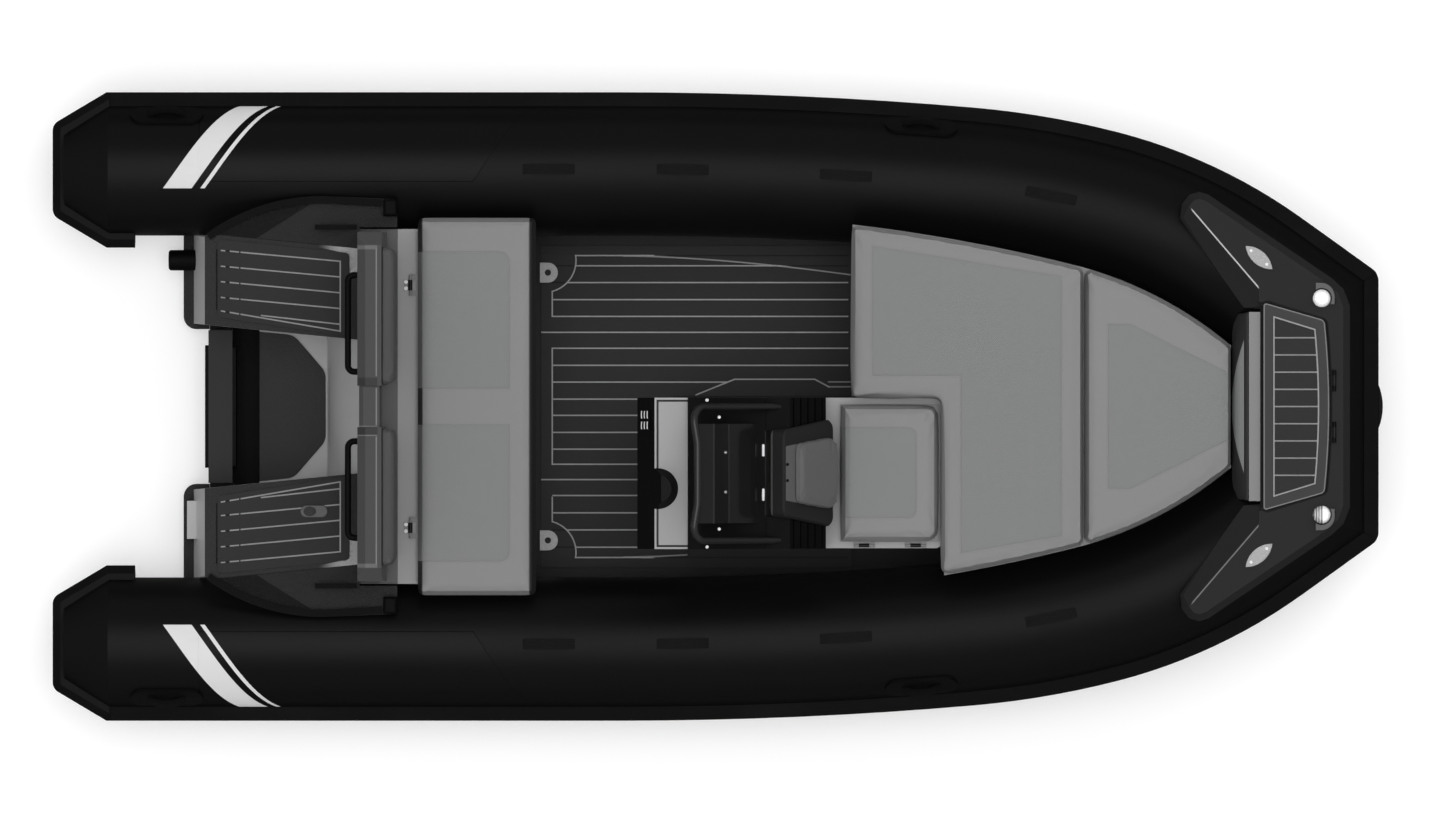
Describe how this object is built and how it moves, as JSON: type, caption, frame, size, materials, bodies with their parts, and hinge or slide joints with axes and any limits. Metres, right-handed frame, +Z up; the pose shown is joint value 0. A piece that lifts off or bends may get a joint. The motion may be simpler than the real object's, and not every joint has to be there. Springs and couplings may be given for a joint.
{
  "type": "rigid-hulled inflatable boat",
  "caption": "Rigid-hulled inflatable boat with side tubes round a plated hull, stern bench, offset steering console, bow cushions and hinged locker lids.",
  "frame": {"origin": "on the waterline, amidships, on the centreline", "axes": "+X to the bow, +Y to port, +Z up"},
  "size_m": [4.6422, 2.202, 1.4125],
  "materials": {
    "tube_fabric": "satin",
    "strake_rubber": "matte",
    "webbing": "matte",
    "hull_plate": "satin",
    "transom_paint": "satin",
    "deck_paint": "satin",
    "black_plastic": "satin",
    "light_moulding": "gloss",
    "dark_moulding": "satin",
    "pale_foam": "matte",
    "dark_foam": "matte",
    "seat_vinyl": "satin",
    "pad_vinyl": "satin",
    "smoked_screen": "gloss",
    "rail_paint": "satin",
    "bright_steel": "polished",
    "brushed_fitting": "brushed",
    "lamp_lens": "gloss"
  },
  "bodies": {
    "boat": {"back_brackets": "black_plastic", "backrest_frame": "dark_moulding", "backrest_grabs": "black_plastic", "backrest_pads": "pad_vinyl", "bench_box": "light_moulding", "boarding_platforms": "dark_moulding", "bow_back_panel": "light_moulding", "bow_backrest": "pad_vinyl", "bow_cleats": "brushed_fitting", "bow_cushion_aft": "seat_vinyl", "bow_cushion_fore": "seat_vinyl", "bow_deck": "dark_moulding", "bow_locker": "light_moulding", "carry_handles": "strake_rubber", "console_body": "light_moulding", "console_dash": "black_plastic", "console_rail": "rail_paint", "dash_fittings": "black_plastic", "deck_floor": "deck_paint", "drain_trunk": "black_plastic", "floor_brackets": "brushed_fitting", "fuel_filler": "brushed_fitting", "grab_straps": "webbing", "hull": "hull_plate", "lamp_shrouds": "light_moulding", "lid_hinges": "black_plastic", "mat_planks": "dark_foam", "mat_sheets": "pale_foam", "motor_well": "light_moulding", "nav_lights": "lamp_lens", "platform_lips": "black_plastic", "rub_strakes": "strake_rubber", "seat_back": "dark_moulding", "seat_back_pad": "pad_vinyl", "steering_column": "black_plastic", "stern_cleats": "black_plastic", "stern_cones": "tube_fabric", "stern_modules": "light_moulding", "stern_steps": "dark_moulding", "towing_eyes": "bright_steel", "transom": "transom_paint", "transom_pads": "black_plastic", "tube_bow": "tube_fabric", "tube_port": "tube_fabric", "tube_starboard": "tube_fabric", "well_floor": "dark_moulding", "well_trough": "black_plastic", "windscreen": "smoked_screen"},
    "bench_lid": {"bench_lid": "light_moulding", "bench_cushion": "seat_vinyl"},
    "seat_lid": {"seat_lid": "light_moulding", "seat_cushion": "seat_vinyl"},
    "anchor_lid": {"anchor_lid": "dark_moulding", "anchor_mat_sheet": "pale_foam", "anchor_mat_planks": "dark_foam"},
    "steering_wheel": {"steering_wheel": "black_plastic"}
  },
  "joints": [
    {"name": "bench_lid_hinge", "type": "hinge", "parent": "boat", "child": "bench_lid", "pos_m": [-1.074, 0, 0.44], "axis": [0, -1, 0], "range_deg": [0, 65]},
    {"name": "seat_lid_hinge", "type": "hinge", "parent": "boat", "child": "seat_lid", "pos_m": [0.6, -0.485, 0.503], "axis": [1, 0, 0], "range_deg": [0, 85]},
    {"name": "anchor_lid_hinge", "type": "hinge", "parent": "boat", "child": "anchor_lid", "pos_m": [2.14296, 0, 0.71823], "axis": [0, 1, 0], "range_deg": [0, 100]},
    {"name": "steering_turn", "type": "hinge", "parent": "boat", "child": "steering_wheel", "pos_m": [-0.214, -0.285, 0.64], "axis": [-1, 0, 0], "range_deg": [-540, 540]}
  ]
}
